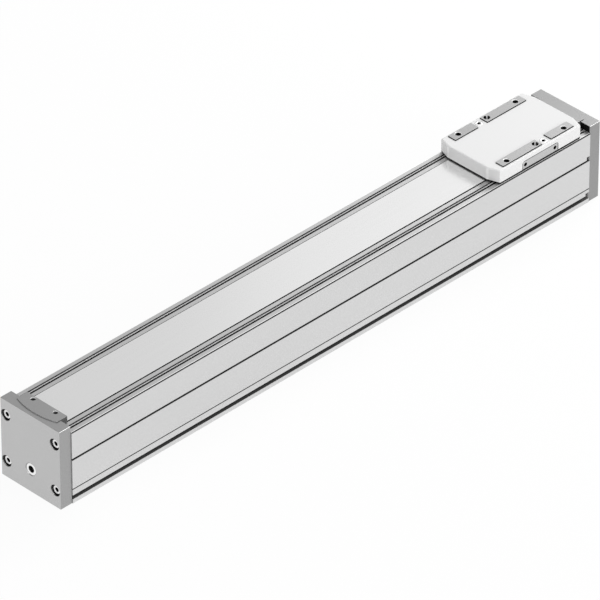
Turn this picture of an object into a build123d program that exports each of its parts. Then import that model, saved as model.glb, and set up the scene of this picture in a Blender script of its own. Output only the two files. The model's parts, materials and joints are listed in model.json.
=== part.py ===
from build123d import *
import os

# Passive guide axis: an undriven linear guide in a square aluminium extrusion.
# A slide runs on a ball rail inside the extrusion. A taut steel band closes the top.
# +X runs along the axis from the near cap to the far cap, +Z is up, and the origin
# is the middle of the underside. All sizes are in millimetres.

os.makedirs("parts", exist_ok=True)

# Travel and the room that the slide needs at each end
nominal_stroke = 400.0
stroke_reserve = 5.1
slide_length = 89.4
end_gap = 0.5
bump_gap = 0.1

# Extruded profile
profile_width = 60.0
profile_height = 59.8
corner_chamfer = 0.3
shoulder_edge = 0.45
mouth_wall = 11.1
chamber_floor = 12.0
chamber_side_room = 1.3
chamber_wide_room = 3.1
chamber_wide_rise = 5.0
chamber_wide_drop = 4.5
channel_slot = 2.1
channel_edge = 0.5
sensor_slot = 1.1
sensor_slot_z = 37.0
sensor_bore_r = 2.0
sensor_bore_inset = 3.4
sensor_notch_length = 3.1
sensor_notch_height = 3.4
clamp_groove_z = 5.35
clamp_groove_height = 3.3
clamp_groove_depth = 3.6
clamp_notch_length = 3.6
clamp_notch_height = 2.1
score_z = 12.1
score_width = 0.5
score_depth = 0.5
foot_relief_half = 11.0
foot_relief_depth = 0.4

# End caps and their gaskets
cap_step = 0.75
cap_rise = 5.25
cap_thickness = 10.3
cap_corner_r = 0.4
cap_edge_r = 0.3
cap_screw_inset = 5.95
cap_screw_drop = 7.3
cap_screw_low_z = 13.7
cap_screw_bore_r = 4.5
cap_screw_sink = 1.45
cap_screw_length = 16.0
gasket_thickness = 0.4
gasket_inset = 0.3

# Cover band and the clamp at each of its ends
band_thickness = 0.3
band_lift = 0.1
band_end_room = 0.5
clamp_overhang = 5.9
clamp_side_cover = 1.7
clamp_rise = 0.7
clamp_front = 3.6
clamp_bow = 3.3
clamp_gap = 0.15
clamp_screw_edge = 2.7
clamp_screw_side = 8.65
clamp_screw_sink = 1.1
tongue_side_room = 0.4
tongue_depth = 5.0
tongue_setback = 0.4

# Port in each cap
port_z = 19.0
port_face_r = 5.2
port_face_depth = 0.4
port_flange_r = 4.7
port_flange_thickness = 1.2
port_barrel_r = 3.2
port_bore_r = 2.1
port_mouth_r = 2.65

# Ball rail and its screws
rail_width = 15.0
rail_height = 13.0
rail_end_room = 2.0
rail_screw_pitch = 60.0
rail_screw_end = 15.0
rail_screw_sink = 0.6
rail_screw_grip = 7.0
rail_screw_room = 1.0
rail_edge = 0.6

# Bearing block that runs on the rail
block_length = 52.0
block_floor_gap = 3.0
block_crown = 11.0
block_side_room = 0.9
block_top_room = 0.6
block_edge = 0.8
block_cap_length = 6.0
block_cap_inset = 0.4
block_seal_thickness = 1.2
block_seal_room = 0.3
ball_r = 1.6
ball_room = 0.05
ball_offset = 0.55
ball_height = 8.0
ball_spacing = 0.2
ball_end_room = 3.5
return_bore_r = 1.75
return_bore_offset = 5.35
block_fixing_rise = 6.0
block_screw_inset = 4.3
block_screw_depth = 4.0
magnet_r = 3.0
magnet_depth = 3.0

# Rubber buffer inside each cap
buffer_r = 4.4
buffer_stud_r = 2.0
buffer_stud_length = 4.0

# Yoke of bent steel sheet that joins the block to the slide round the band's edges
yoke_sheet = 0.5
yoke_room = 0.2
yoke_end_room = 1.7
yoke_foot_rise = 9.0
yoke_screw_x = 15.0
yoke_screw_inset = 6.5
yoke_screw_depth = 5.0
yoke_head_room = 0.25
side_screw_inset = 7.0
side_screw_depth = 5.0
band_pad_edge = 2.5
band_pad_length = 10.0
band_pad_inset = 2.3
band_pad_room = 0.15

# Slide: aluminium body under a white plastic cover
slide_clearance = 1.1
slide_set_in = 0.8
nose_flat_inset = 9.9
nose_facet = 3.3
cover_height = 10.1
cover_wall = 1.8
cover_room = 0.2
cover_ceiling = 2.0
cover_corner_r = 1.0
cover_top_r = 1.2
pad_rise = 0.9
pad_edge = 2.1
pad_width = 7.4
pad_end_inset = 8.4
long_pad_reach = 3.65
short_pad_start = 13.1
window_gap = 0.25
slide_hole_inset = 6.9
slide_hole_shift = 0.4
slide_thread_r = 2.1
slide_thread_depth = 9.0
slide_mouth_r = 2.6
centring_r = 2.5
centring_depth = 3.0
boss_half_length = 18.3
boss_height = 6.5
boss_corner_r = 2.0
boss_set_in = 0.2
boss_hole_inset = 3.15
boss_hole_rise = 3.1
boss_hole_r = 1.25
boss_hole_depth = 6.0
cover_screw_depth = 6.0
cover_screw_sink = 0.1

# Wipers and side seals under the slide
wiper_length = 8.0
wiper_inset = 0.2
seal_rail_room = 0.6
side_seal_width = 2.0
seal_end_gap = 0.4

# Screws: shank, head and key sizes, and the room round them in their holes
m4_shank_r = 2.0
m4_head_r = 3.5
m4_head_height = 4.0
m4_key = 3.0
m4_key_depth = 2.0
m3_shank_r = 1.5
m3_low_head_r = 2.75
m3_low_head_height = 0.9
m3_cone_head_r = 2.95
m3_key = 2.0
m3_low_key_depth = 0.6
m3_cone_key_depth = 1.2
m2_shank_r = 1.0
m2_head_r = 1.9
m2_head_height = 2.0
m2_low_head_height = 1.2
m2_key = 1.5
m2_key_depth = 1.0
m2_low_key_depth = 0.5
thread_room = 0.05
head_room = 0.1
pass_room = 0.3

# Lengths along the axis that follow from the sizes above
profile_setback = cap_thickness + gasket_thickness
clamp_back = profile_setback + clamp_overhang
clamp_shoulder = clamp_front + clamp_bow
clamp_screw_x = clamp_back - clamp_screw_edge
band_setback = clamp_shoulder + band_end_room
travel = nominal_stroke + 2 * stroke_reserve
slide_x = travel / 2
half_length = slide_x + slide_length / 2 + end_gap + clamp_back
profile_length = 2 * (half_length - profile_setback)
rail_length = profile_length - 2 * rail_end_room
rail_screw_count = int((rail_length - 2 * rail_screw_end) // rail_screw_pitch) + 1
block_end = block_length / 2 + block_cap_length + block_seal_thickness
buffer_length = half_length - cap_thickness - slide_x - block_end - bump_gap
ball_pitch = 2 * ball_r + ball_spacing
balls_in_row = int((block_length - 2 * ball_end_room) // ball_pitch)
side_screw_x = block_length / 2 - side_screw_inset
yoke_length = slide_length - 2 * (wiper_length + yoke_end_room)
band_pad_x = yoke_length / 2 - band_pad_edge - band_pad_length / 2
pad_outer_end = slide_length / 2 - pad_end_inset
slide_hole_x = pad_outer_end - slide_hole_inset
cover_screw_x = (long_pad_reach + short_pad_start) / 2
boss_hole_x = boss_half_length - boss_hole_inset

# Widths across the axis
cap_width = profile_width - 2 * cap_step
cap_screw_y = profile_width / 2 - cap_screw_inset
mouth_half = profile_width / 2 - mouth_wall
yoke_outer = mouth_half - yoke_room
yoke_inner = yoke_outer - yoke_sheet
yoke_screw_y = yoke_inner - yoke_screw_inset
band_width = 2 * (yoke_inner - yoke_room)
band_pad_half_width = band_width / 2 - band_pad_inset
chamber_half = yoke_outer + chamber_side_room
chamber_wide_half = yoke_outer + chamber_wide_room
clamp_half_width = band_width / 2 + clamp_side_cover
clamp_screw_y = clamp_half_width - clamp_screw_side
tongue_half_width = band_width / 2 - tongue_side_room
ball_y = rail_width / 2 + ball_offset
return_bore_y = ball_y + return_bore_offset
block_screw_y = yoke_inner - block_screw_inset
slide_half_width = profile_width / 2 - slide_set_in
nose_flat_half = slide_half_width - nose_flat_inset
pad_y = slide_half_width - pad_edge - pad_width / 2
slide_hole_y = pad_y + slide_hole_shift

# Heights
cap_height = profile_height + cap_rise
clamp_top = cap_height + clamp_rise
cap_screw_high_z = profile_height - cap_screw_drop
chamber_wide_low = chamber_floor + chamber_wide_rise
chamber_wide_high = cap_screw_high_z - chamber_wide_drop
rail_top = chamber_floor + rail_height
ball_z = chamber_floor + ball_height
block_bottom = chamber_floor + block_floor_gap
block_top = rail_top + block_crown
block_fixing_z = rail_top + block_fixing_rise
buffer_z = (rail_top + block_top) / 2
band_bottom = profile_height + band_lift
band_top = band_bottom + band_thickness
slide_bottom = band_top + slide_clearance
yoke_top = slide_bottom + yoke_sheet
yoke_head_height = slide_clearance - yoke_head_room
yoke_bottom = block_bottom + yoke_foot_rise
seal_bottom = profile_height + seal_rail_room
cover_top = slide_bottom + cover_height
cover_inside = cover_top - cover_ceiling
pad_top = cover_top + pad_rise
boss_top = slide_bottom + boss_height
boss_hole_z = slide_bottom + boss_hole_rise

# Hole sizes for the screws
m2_thread_r = m2_shank_r + thread_room
m3_thread_r = m3_shank_r + thread_room
m4_thread_r = m4_shank_r + thread_room
m2_pass_r = m2_shank_r + pass_room
m4_pass_r = m4_shank_r + pass_room


def end_plane(side, inset):
    """Upright plane a given depth inside one end's outer face, facing into the axis."""
    return Plane(
        origin=(side * (half_length - inset), 0, 0),
        x_dir=(0, -side, 0),
        z_dir=(-side, 0, 0),
    )


def cross_plane(x):
    """Upright plane across the axis at a place along it."""
    return Plane.YZ.offset(x)


def side_plane(side, y):
    """Upright plane along the axis, at the slide, facing inwards from one flank."""
    return Plane(origin=(slide_x, side * y, 0), x_dir=(side, 0, 0), z_dir=(0, -side, 0))


cap_screw_places = [
    (y, z)
    for y in (-cap_screw_y, cap_screw_y)
    for z in (cap_screw_low_z, cap_screw_high_z)
]

# Profile: aluminium extrusion, open along the top, with screw channels and side slots
with BuildPart() as profile:
    with BuildSketch(cross_plane(-profile_length / 2)) as section:
        with Locations((0, profile_height / 2)):
            Rectangle(profile_width, profile_height)
        chamfer(section.vertices().group_by(Axis.Y)[0], corner_chamfer)
        chamfer(section.vertices().group_by(Axis.Y)[-1], shoulder_edge)
        with BuildLine() as chamber:
            wall_low = chamber_wide_low + chamber_wide_half - chamber_half
            wall_high = chamber_wide_high - chamber_wide_half + mouth_half
            right = Polyline(
                (0, chamber_floor),
                (chamber_half, chamber_floor),
                (chamber_half, chamber_wide_low),
                (chamber_wide_half, wall_low),
                (chamber_wide_half, wall_high),
                (mouth_half, chamber_wide_high),
                (mouth_half, profile_height),
                (0, profile_height),
            )
            mirror(right, about=Plane.YZ)
        make_face(mode=Mode.SUBTRACT)
        with Locations(*cap_screw_places):
            Circle(m4_thread_r, mode=Mode.SUBTRACT)
        with Locations((0, profile_height - cap_screw_drop / 2)):
            with GridLocations(2 * cap_screw_y, 0, 2, 1):
                Rectangle(channel_slot, cap_screw_drop, mode=Mode.SUBTRACT)
        with Locations((0, profile_height)):
            with GridLocations(2 * cap_screw_y, 0, 2, 1):
                Polygon(
                    (-channel_slot / 2 - channel_edge, 0),
                    (channel_slot / 2 + channel_edge, 0),
                    (channel_slot / 2, -channel_edge),
                    (-channel_slot / 2, -channel_edge),
                    align=None,
                    mode=Mode.SUBTRACT,
                )
        for side in (-1, 1):
            flank = side * profile_width / 2
            with Locations((flank - side * sensor_bore_inset, sensor_slot_z)):
                Circle(sensor_bore_r, mode=Mode.SUBTRACT)
            with Locations((flank - side * sensor_bore_inset / 2, sensor_slot_z)):
                Rectangle(sensor_bore_inset, sensor_slot, mode=Mode.SUBTRACT)
            with Locations((flank - side * clamp_groove_depth / 2, clamp_groove_z)):
                Rectangle(clamp_groove_depth, clamp_groove_height, mode=Mode.SUBTRACT)
            with Locations((flank - side * score_depth / 2, score_z)):
                Rectangle(score_depth, score_width, mode=Mode.SUBTRACT)
        with Locations((0, foot_relief_depth / 2)):
            Rectangle(2 * foot_relief_half, foot_relief_depth, mode=Mode.SUBTRACT)
    extrude(amount=profile_length)
    notch_depth = sensor_bore_inset + sensor_bore_r
    for side in (-1, 1):
        with Locations((
            profile_length / 2 - sensor_notch_length / 2,
            side * (profile_width - notch_depth) / 2,
            sensor_slot_z + sensor_notch_height / 2,
        )):
            Box(sensor_notch_length, notch_depth, sensor_notch_height, mode=Mode.SUBTRACT)
        with Locations((
            profile_length / 2 - clamp_notch_length / 2,
            side * (profile_width - clamp_groove_depth) / 2,
            clamp_groove_z + clamp_groove_height / 2 + clamp_notch_height / 2,
        )):
            Box(clamp_notch_length, clamp_groove_depth, clamp_notch_height, mode=Mode.SUBTRACT)
    with Locations((0, 0, chamber_floor)):
        with GridLocations(rail_screw_pitch, 0, rail_screw_count, 1):
            Hole(m4_thread_r, depth=rail_screw_grip + rail_screw_room)
profile.part.label = "profile"
export_step(profile.part, "parts/profile.step")

# Guide rail: ground steel, one ball track in each flank, screwed to the chamber floor
with BuildPart() as guide_rail:
    with BuildSketch(cross_plane(-rail_length / 2)) as rail_section:
        with Locations((0, chamber_floor + rail_height / 2)):
            Rectangle(rail_width, rail_height)
        chamfer(rail_section.vertices().group_by(Axis.Y)[-1], rail_edge)
        with Locations((-ball_y, ball_z), (ball_y, ball_z)):
            Circle(ball_r + ball_room, mode=Mode.SUBTRACT)
    extrude(amount=rail_length)
    with Locations((0, 0, rail_top)):
        with GridLocations(rail_screw_pitch, 0, rail_screw_count, 1):
            CounterBoreHole(
                radius=m4_pass_r,
                counter_bore_radius=m4_head_r + pass_room,
                counter_bore_depth=m4_head_height + rail_screw_sink,
            )
guide_rail.part.label = "guide_rail"
export_step(guide_rail.part, "parts/guide_rail.step")

# Rail screws: one socket head screw in each counterbore of the rail
with BuildPart() as rail_screws:
    head_top = rail_top - rail_screw_sink
    head_seat = head_top - m4_head_height
    with BuildSketch(Plane.XY.offset(head_seat)):
        with GridLocations(rail_screw_pitch, 0, rail_screw_count, 1):
            Circle(m4_head_r)
    extrude(amount=m4_head_height)
    with BuildSketch(Plane.XY.offset(head_seat)):
        with GridLocations(rail_screw_pitch, 0, rail_screw_count, 1):
            Circle(m4_shank_r)
    extrude(amount=chamber_floor - rail_screw_grip - head_seat)
    with BuildSketch(Plane.XY.offset(head_top)):
        with GridLocations(rail_screw_pitch, 0, rail_screw_count, 1):
            RegularPolygon(m4_key / 2, 6, major_radius=False)
    extrude(amount=-m4_key_depth, mode=Mode.SUBTRACT)
rail_screws.part.label = "rail_screws"
export_step(rail_screws.part, "parts/rail_screws.step")


def clamp_outline(side, grow):
    """Outline of a band clamp seen from above: straight flanks and a bowed front edge."""
    front = side * (half_length - clamp_front + grow)
    shoulder = side * (half_length - clamp_shoulder + grow)
    back = side * (half_length - clamp_back)
    half = clamp_half_width + grow
    with BuildLine() as outline:
        Polyline((shoulder, -half), (back, -half), (back, half), (shoulder, half))
        ThreePointArc((shoulder, half), (front, 0), (shoulder, -half))
    make_face(outline.edges())


# Pieces at each end of the axis, the same at both
for end, side in (("near", -1), ("far", 1)):
    clamp_screw_places = [
        (side * (half_length - clamp_screw_x), y) for y in (-clamp_screw_y, clamp_screw_y)
    ]

    # End cap: milled aluminium plate with a pocket for the clamp and a tongue under the band
    with BuildPart() as end_cap:
        with BuildSketch(end_plane(side, 0)):
            with Locations((0, cap_height / 2)):
                RectangleRounded(cap_width, cap_height, cap_corner_r)
        extrude(amount=cap_thickness)
        fillet(end_cap.faces().sort_by(Axis.X)[0 if side < 0 else -1].edges(), cap_edge_r)
        with BuildSketch(end_plane(side, cap_thickness)):
            with Locations((0, band_bottom - tongue_depth / 2)):
                Rectangle(2 * tongue_half_width, tongue_depth)
        extrude(amount=clamp_back - tongue_setback - cap_thickness)
        with BuildSketch(Plane.XY.offset(band_bottom)):
            clamp_outline(side, clamp_gap)
        extrude(amount=cap_height - band_bottom, mode=Mode.SUBTRACT)
        with BuildSketch(end_plane(side, 0)):
            with Locations(*cap_screw_places):
                Circle(cap_screw_bore_r)
        extrude(amount=cap_screw_sink + m4_head_height, mode=Mode.SUBTRACT)
        with BuildSketch(end_plane(side, 0)):
            with Locations(*cap_screw_places):
                Circle(m4_pass_r)
            with Locations((0, port_z)):
                Circle(port_barrel_r + thread_room)
        extrude(amount=cap_thickness, mode=Mode.SUBTRACT)
        with BuildSketch(end_plane(side, 0)):
            with Locations((0, port_z)):
                Circle(port_flange_r + thread_room)
        extrude(amount=port_face_depth + port_flange_thickness, mode=Mode.SUBTRACT)
        with BuildSketch(end_plane(side, 0)):
            with Locations((0, port_z)):
                Circle(port_face_r)
        extrude(amount=port_face_depth, mode=Mode.SUBTRACT)
        with BuildSketch(end_plane(side, cap_thickness)):
            with Locations((0, buffer_z)):
                Circle(buffer_stud_r + thread_room)
        extrude(amount=-buffer_stud_length, mode=Mode.SUBTRACT)
        with BuildSketch(Plane.XY.offset(band_bottom)):
            with Locations(*clamp_screw_places):
                Circle(m2_thread_r)
        extrude(amount=-tongue_depth, mode=Mode.SUBTRACT)
    end_cap.part.label = f"{end}_end_cap"
    export_step(end_cap.part, f"parts/{end}_end_cap.step")

    # Gasket: thin black sheet between the cap and the sawn end of the profile
    with BuildPart() as gasket:
        with BuildSketch(end_plane(side, cap_thickness)):
            with Locations((0, profile_height / 2)):
                Rectangle(cap_width - 2 * gasket_inset, profile_height - 2 * gasket_inset)
            with Locations((0, (chamber_floor + profile_height) / 2)):
                Rectangle(2 * mouth_half, profile_height - chamber_floor, mode=Mode.SUBTRACT)
            with Locations(*cap_screw_places):
                Circle(m4_pass_r, mode=Mode.SUBTRACT)
        extrude(amount=gasket_thickness)
    gasket.part.label = f"{end}_cap_gasket"
    export_step(gasket.part, f"parts/{end}_cap_gasket.step")

    # Cap screws: four socket head screws, sunk in the cap and driven into the channels
    with BuildPart() as cap_screws:
        with BuildSketch(end_plane(side, cap_screw_sink)):
            with Locations(*cap_screw_places):
                Circle(m4_head_r)
        extrude(amount=m4_head_height)
        with BuildSketch(end_plane(side, cap_screw_sink + m4_head_height)):
            with Locations(*cap_screw_places):
                Circle(m4_shank_r)
        extrude(amount=cap_screw_length)
        with BuildSketch(end_plane(side, cap_screw_sink)):
            with Locations(*cap_screw_places):
                RegularPolygon(m4_key / 2, 6, major_radius=False)
        extrude(amount=m4_key_depth, mode=Mode.SUBTRACT)
    cap_screws.part.label = f"{end}_cap_screws"
    export_step(cap_screws.part, f"parts/{end}_cap_screws.step")

    # Port bush: turned bush with a threaded bore, for sealing air or suction
    with BuildPart() as port_bush:
        with BuildSketch(end_plane(side, port_face_depth)):
            with Locations((0, port_z)):
                Circle(port_flange_r)
        extrude(amount=port_flange_thickness)
        with BuildSketch(end_plane(side, port_face_depth)):
            with Locations((0, port_z)):
                Circle(port_barrel_r)
        extrude(amount=cap_thickness - port_face_depth)
        with Locations(end_plane(side, port_face_depth)):
            with Locations(Location((0, port_z, 0), (180, 0, 0))):
                CounterSinkHole(port_bore_r, port_mouth_r, counter_sink_angle=90)
    port_bush.part.label = f"{end}_port_bush"
    export_step(port_bush.part, f"parts/{end}_port_bush.step")

    # Band clamp: bowed aluminium plate that holds the band's end down on the tongue
    with BuildPart() as band_clamp:
        with BuildSketch(Plane.XY.offset(band_top)):
            clamp_outline(side, 0)
        extrude(amount=clamp_top - band_top)
        with Locations(*[(x, y, clamp_top) for x, y in clamp_screw_places]):
            CounterBoreHole(
                radius=m2_pass_r,
                counter_bore_radius=m2_head_r + head_room,
                counter_bore_depth=clamp_screw_sink + m2_head_height,
            )
    band_clamp.part.label = f"{end}_band_clamp"
    export_step(band_clamp.part, f"parts/{end}_band_clamp.step")

    # Clamp screws: two small socket head screws through the clamp and the band
    with BuildPart() as clamp_screws:
        clamp_head_top = clamp_top - clamp_screw_sink
        clamp_head_seat = clamp_head_top - m2_head_height
        with BuildSketch(Plane.XY.offset(clamp_head_seat)):
            with Locations(*clamp_screw_places):
                Circle(m2_head_r)
        extrude(amount=m2_head_height)
        with BuildSketch(Plane.XY.offset(clamp_head_seat)):
            with Locations(*clamp_screw_places):
                Circle(m2_shank_r)
        extrude(amount=band_bottom - tongue_depth - clamp_head_seat)
        with BuildSketch(Plane.XY.offset(clamp_head_top)):
            with Locations(*clamp_screw_places):
                RegularPolygon(m2_key / 2, 6, major_radius=False)
        extrude(amount=-m2_key_depth, mode=Mode.SUBTRACT)
    clamp_screws.part.label = f"{end}_clamp_screws"
    export_step(clamp_screws.part, f"parts/{end}_clamp_screws.step")

    # Buffer: rubber post on the cap's inner face that stops the bearing block
    with BuildPart() as buffer:
        with BuildSketch(end_plane(side, cap_thickness)):
            with Locations((0, buffer_z)):
                Circle(buffer_r)
        extrude(amount=buffer_length)
        with BuildSketch(end_plane(side, cap_thickness)):
            with Locations((0, buffer_z)):
                Circle(buffer_stud_r)
        extrude(amount=-buffer_stud_length)
    buffer.part.label = f"{end}_buffer"
    export_step(buffer.part, f"parts/{end}_buffer.step")

# Cover band: stainless steel strip, pulled taut between the two clamps
with BuildPart() as cover_band:
    with BuildSketch(Plane.XY.offset(band_bottom)):
        Rectangle(2 * (half_length - band_setback), band_width)
        with GridLocations(2 * (half_length - clamp_screw_x), 2 * clamp_screw_y, 2, 2):
            Circle(m2_pass_r, mode=Mode.SUBTRACT)
    extrude(amount=band_thickness)
cover_band.part.label = "cover_band"
export_step(cover_band.part, "parts/cover_band.step")


def rail_gap(height_room, side_room):
    """Cuts the channel that the rail passes through out of a block-shaped section."""
    channel_height = rail_top + height_room - block_bottom
    with Locations((0, block_bottom + channel_height / 2)):
        Rectangle(rail_width + 2 * side_room, channel_height, mode=Mode.SUBTRACT)


# Bearing block: hardened steel saddle with a ball track and a return bore on each side
with BuildPart() as bearing_block:
    with BuildSketch(cross_plane(slide_x - block_length / 2)) as block_section:
        with Locations((0, (block_bottom + block_top) / 2)):
            Rectangle(2 * yoke_inner, block_top - block_bottom)
        chamfer(block_section.vertices(), block_edge)
        rail_gap(block_top_room, block_side_room)
        with Locations((-ball_y, ball_z), (ball_y, ball_z)):
            Circle(ball_r + ball_room, mode=Mode.SUBTRACT)
        with Locations((-return_bore_y, ball_z), (return_bore_y, ball_z)):
            Circle(return_bore_r, mode=Mode.SUBTRACT)
    extrude(amount=block_length)
    for side in (-1, 1):
        with BuildSketch(side_plane(side, yoke_inner)):
            with Locations((-side_screw_x, block_fixing_z), (side_screw_x, block_fixing_z)):
                Circle(m3_thread_r)
        extrude(amount=side_screw_depth, mode=Mode.SUBTRACT)
        with BuildSketch(side_plane(side, yoke_inner)):
            with Locations((0, block_fixing_z)):
                Circle(magnet_r + thread_room)
        extrude(amount=magnet_depth, mode=Mode.SUBTRACT)
    for side in (-1, 1):
        with BuildSketch(cross_plane(slide_x + side * block_length / 2)):
            with Locations((-block_screw_y, block_fixing_z), (block_screw_y, block_fixing_z)):
                Circle(m2_thread_r)
        extrude(amount=-side * block_screw_depth, mode=Mode.SUBTRACT)
bearing_block.part.label = "bearing_block"
export_step(bearing_block.part, "parts/bearing_block.step")

# Bearing balls: one row in each track, between the rail and the block
with BuildPart() as bearing_balls:
    with Locations((slide_x, 0, ball_z)):
        with GridLocations(ball_pitch, 2 * ball_y, balls_in_row, 2):
            Sphere(ball_r)
bearing_balls.part.label = "bearing_balls"
export_step(bearing_balls.part, "parts/bearing_balls.step")

# Sensor magnets: one disc pressed into each flank of the block
with BuildPart() as sensor_magnets:
    for side in (-1, 1):
        with BuildSketch(side_plane(side, yoke_inner)):
            with Locations((0, block_fixing_z)):
                Circle(magnet_r)
        extrude(amount=magnet_depth)
sensor_magnets.part.label = "sensor_magnets"
export_step(sensor_magnets.part, "parts/sensor_magnets.step")

# Pieces at each end of the bearing block
for end, side in (("near", -1), ("far", 1)):
    block_face = slide_x + side * block_length / 2
    seal_face = block_face + side * block_cap_length

    # Block cap: moulded plastic, turns the balls round into the return bore
    with BuildPart() as block_cap:
        with BuildSketch(cross_plane(block_face)) as block_cap_section:
            with Locations((0, (block_bottom + block_top) / 2)):
                Rectangle(
                    2 * (yoke_inner - block_cap_inset),
                    block_top - block_bottom - 2 * block_cap_inset,
                )
            chamfer(block_cap_section.vertices(), block_edge)
            rail_gap(block_top_room, block_side_room)
            with Locations((-block_screw_y, block_fixing_z), (block_screw_y, block_fixing_z)):
                Circle(m2_pass_r, mode=Mode.SUBTRACT)
        extrude(amount=side * block_cap_length)
    block_cap.part.label = f"{end}_block_cap"
    export_step(block_cap.part, f"parts/{end}_block_cap.step")

    # Block seal: rubber lip plate that wipes the rail
    with BuildPart() as block_seal:
        with BuildSketch(cross_plane(seal_face)) as block_seal_section:
            with Locations((0, (block_bottom + block_top) / 2)):
                Rectangle(
                    2 * (yoke_inner - 2 * block_cap_inset),
                    block_top - block_bottom - 4 * block_cap_inset,
                )
            chamfer(block_seal_section.vertices(), block_edge)
            rail_gap(block_seal_room, block_seal_room)
            with Locations((-block_screw_y, block_fixing_z), (block_screw_y, block_fixing_z)):
                Circle(m2_head_r + head_room, mode=Mode.SUBTRACT)
        extrude(amount=side * block_seal_thickness)
    block_seal.part.label = f"{end}_block_seal"
    export_step(block_seal.part, f"parts/{end}_block_seal.step")

# Block screws: two at each end of the block, through the cap into the steel
with BuildPart() as block_screws:
    for side in (-1, 1):
        seat = slide_x + side * (block_length / 2 + block_cap_length)
        with BuildSketch(cross_plane(seat)):
            with Locations((-block_screw_y, block_fixing_z), (block_screw_y, block_fixing_z)):
                Circle(m2_head_r)
        extrude(amount=side * m2_low_head_height)
        with BuildSketch(cross_plane(seat)):
            with Locations((-block_screw_y, block_fixing_z), (block_screw_y, block_fixing_z)):
                Circle(m2_shank_r)
        extrude(amount=-side * (block_cap_length + block_screw_depth))
        with BuildSketch(cross_plane(seat + side * m2_low_head_height)):
            with Locations((-block_screw_y, block_fixing_z), (block_screw_y, block_fixing_z)):
                RegularPolygon(m2_key / 2, 6, major_radius=False)
        extrude(amount=-side * m2_low_key_depth, mode=Mode.SUBTRACT)
block_screws.part.label = "block_screws"
export_step(block_screws.part, "parts/block_screws.step")

# Yoke: bent steel sheet whose flanges pass through the gap beside each edge of the band
with BuildPart() as yoke:
    with BuildSketch(cross_plane(slide_x - yoke_length / 2)):
        with Locations((0, (yoke_bottom + yoke_top) / 2)):
            Rectangle(2 * yoke_outer, yoke_top - yoke_bottom)
        with Locations((0, (yoke_bottom + slide_bottom) / 2)):
            Rectangle(2 * yoke_inner, slide_bottom - yoke_bottom, mode=Mode.SUBTRACT)
    extrude(amount=yoke_length)
    with Locations((slide_x, 0, yoke_top)):
        with GridLocations(2 * yoke_screw_x, 2 * yoke_screw_y, 2, 2):
            Hole(m3_thread_r, depth=yoke_sheet)
    for side in (-1, 1):
        with BuildSketch(side_plane(side, yoke_outer)):
            with Locations((-side_screw_x, block_fixing_z), (side_screw_x, block_fixing_z)):
                Circle(m3_thread_r)
        extrude(amount=yoke_sheet, mode=Mode.SUBTRACT)
yoke.part.label = "yoke"
export_step(yoke.part, "parts/yoke.step")

# Yoke screws: low heads under the sheet, driven up into the slide body
with BuildPart() as yoke_screws:
    with BuildSketch(Plane.XY.offset(slide_bottom)):
        with Locations((slide_x, 0)):
            with GridLocations(2 * yoke_screw_x, 2 * yoke_screw_y, 2, 2):
                Circle(m3_low_head_r)
    extrude(amount=-yoke_head_height)
    with BuildSketch(Plane.XY.offset(slide_bottom)):
        with Locations((slide_x, 0)):
            with GridLocations(2 * yoke_screw_x, 2 * yoke_screw_y, 2, 2):
                Circle(m3_shank_r)
    extrude(amount=yoke_sheet + yoke_screw_depth)
    with BuildSketch(Plane.XY.offset(slide_bottom - yoke_head_height)):
        with Locations((slide_x, 0)):
            with GridLocations(2 * yoke_screw_x, 2 * yoke_screw_y, 2, 2):
                RegularPolygon(m3_key / 2, 6, major_radius=False)
    extrude(amount=m3_low_key_depth, mode=Mode.SUBTRACT)
yoke_screws.part.label = "yoke_screws"
export_step(yoke_screws.part, "parts/yoke_screws.step")

# Side screws: low heads that hold the yoke's flanges to the flanks of the block
with BuildPart() as side_screws:
    for side in (-1, 1):
        with BuildSketch(side_plane(side, yoke_outer)):
            with Locations((-side_screw_x, block_fixing_z), (side_screw_x, block_fixing_z)):
                Circle(m3_low_head_r)
        extrude(amount=-m3_low_head_height)
        with BuildSketch(side_plane(side, yoke_outer)):
            with Locations((-side_screw_x, block_fixing_z), (side_screw_x, block_fixing_z)):
                Circle(m3_shank_r)
        extrude(amount=yoke_sheet + side_screw_depth)
        with BuildSketch(side_plane(side, yoke_outer + m3_low_head_height)):
            with Locations((-side_screw_x, block_fixing_z), (side_screw_x, block_fixing_z)):
                RegularPolygon(m3_key / 2, 6, major_radius=False)
        extrude(amount=m3_low_key_depth, mode=Mode.SUBTRACT)
side_screws.part.label = "side_screws"
export_step(side_screws.part, "parts/side_screws.step")

# Band pads: plastic runners under the yoke that keep the band down
with BuildPart() as band_pads:
    with BuildSketch(Plane.XY.offset(band_top + band_pad_room)):
        with Locations((slide_x - band_pad_x, 0), (slide_x + band_pad_x, 0)):
            Rectangle(band_pad_length, 2 * band_pad_half_width)
    extrude(amount=slide_bottom - band_top - band_pad_room)
band_pads.part.label = "band_pads"
export_step(band_pads.part, "parts/band_pads.step")


def slide_outline(inset):
    """Outline of the slide seen from above, with its two faceted noses."""
    half = slide_length / 2
    facet = half - nose_facet
    Polygon(
        (slide_x + half, -nose_flat_half),
        (slide_x + half, nose_flat_half),
        (slide_x + facet, slide_half_width),
        (slide_x - facet, slide_half_width),
        (slide_x - half, nose_flat_half),
        (slide_x - half, -nose_flat_half),
        (slide_x - facet, -slide_half_width),
        (slide_x + facet, -slide_half_width),
        align=None,
    )
    if inset:
        offset(amount=-inset, kind=Kind.INTERSECTION)


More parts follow.
